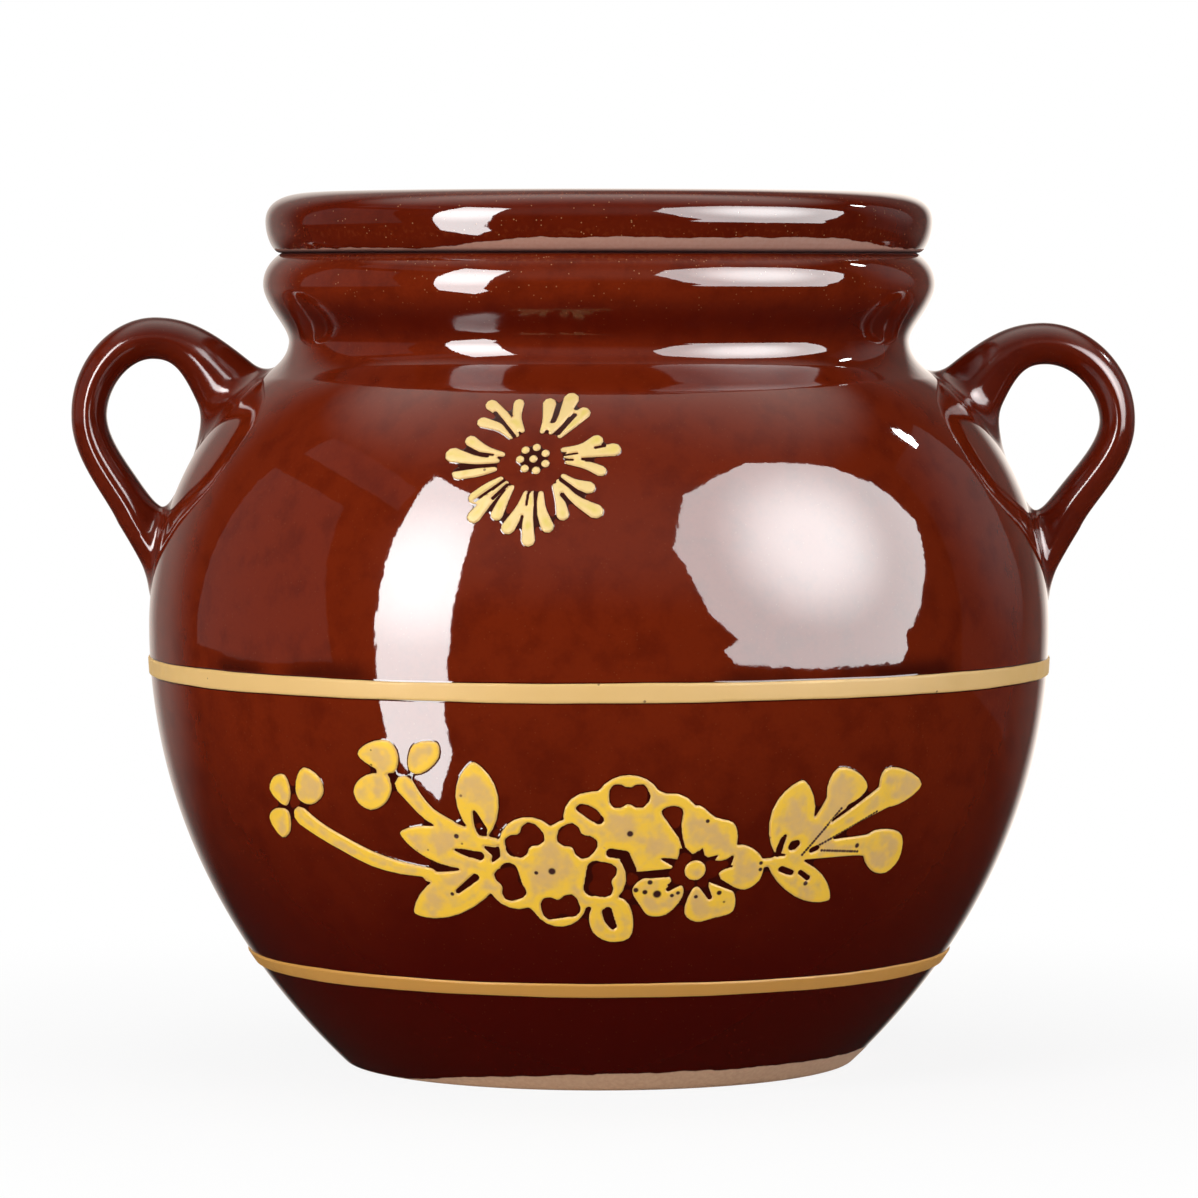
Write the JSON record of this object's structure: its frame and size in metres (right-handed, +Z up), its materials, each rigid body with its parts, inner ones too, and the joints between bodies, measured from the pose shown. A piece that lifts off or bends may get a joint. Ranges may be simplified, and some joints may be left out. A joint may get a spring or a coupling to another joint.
{
  "type": "lard jar",
  "caption": "Round brown-glazed stoneware jar with ear handles, a flat-topped lift-off lid and raised cream slip flowers and bands, for keeping lard or dry food.",
  "frame": {"origin": "on the ground, under the middle of the foot, on the pot's turning axis", "axes": "+Z up along the turning axis, +X through the right ear handle, the decorated front faces -Y"},
  "size_m": [0.2365, 0.2012, 0.1935],
  "materials": {
    "brown_glaze": "gloss",
    "cream_slip": "satin"
  },
  "bodies": {
    "jar": {"jar_body": "brown_glaze", "left_handle": "brown_glaze", "right_handle": "brown_glaze", "upper_band": "cream_slip", "lower_band": "cream_slip", "rosette_petals_1": "cream_slip", "rosette_petals_2": "cream_slip", "rosette_petals_3": "cream_slip", "rosette_petal_3": "cream_slip", "rosette_petals_4": "cream_slip", "rosette_petal_4": "cream_slip", "rosette_petal_5a": "cream_slip", "rosette_petal_5b": "cream_slip", "rosette_petal_5c": "cream_slip", "rosette_petals_6": "cream_slip", "rosette_petal_6": "cream_slip", "rosette_petals_7": "cream_slip", "rosette_petal_7": "cream_slip", "rosette_seed_middle": "cream_slip", "rosette_seed_1": "cream_slip", "rosette_seed_2": "cream_slip", "rosette_seed_3": "cream_slip", "rosette_seed_4": "cream_slip", "rosette_seed_5": "cream_slip", "rosette_seed_6": "cream_slip", "rosette_seed_7": "cream_slip", "blossom_left": "cream_slip", "blossom_middle": "cream_slip", "blossom_right_eye": "cream_slip", "blossom_right_petal_upper": "cream_slip", "blossom_right_petal_right": "cream_slip", "blossom_right_petal_lower_right": "cream_slip", "blossom_right_petal_lower_left": "cream_slip", "leaf_left_upper": "cream_slip", "leaf_left_middle": "cream_slip", "leaf_left_lower": "cream_slip", "leaf_bottom": "cream_slip", "leaf_right_upper": "cream_slip", "leaf_right_lower": "cream_slip", "stem_left": "cream_slip", "stem_far_left": "cream_slip", "bud_left_petal_1": "cream_slip", "bud_left_petal_2": "cream_slip", "bud_left_petal_3": "cream_slip", "bud_far_left_petal_1": "cream_slip", "bud_far_left_petal_2": "cream_slip", "bud_far_left_petal_3": "cream_slip", "bud_right_1": "cream_slip", "bud_right_2": "cream_slip", "bud_right_3": "cream_slip"},
    "lid": {"lid": "brown_glaze"}
  },
  "joints": [
    {"name": "lid_lift", "type": "slide", "parent": "jar", "child": "lid", "axis": [0, 0, 1], "range_m": [0, 0.1]}
  ]
}
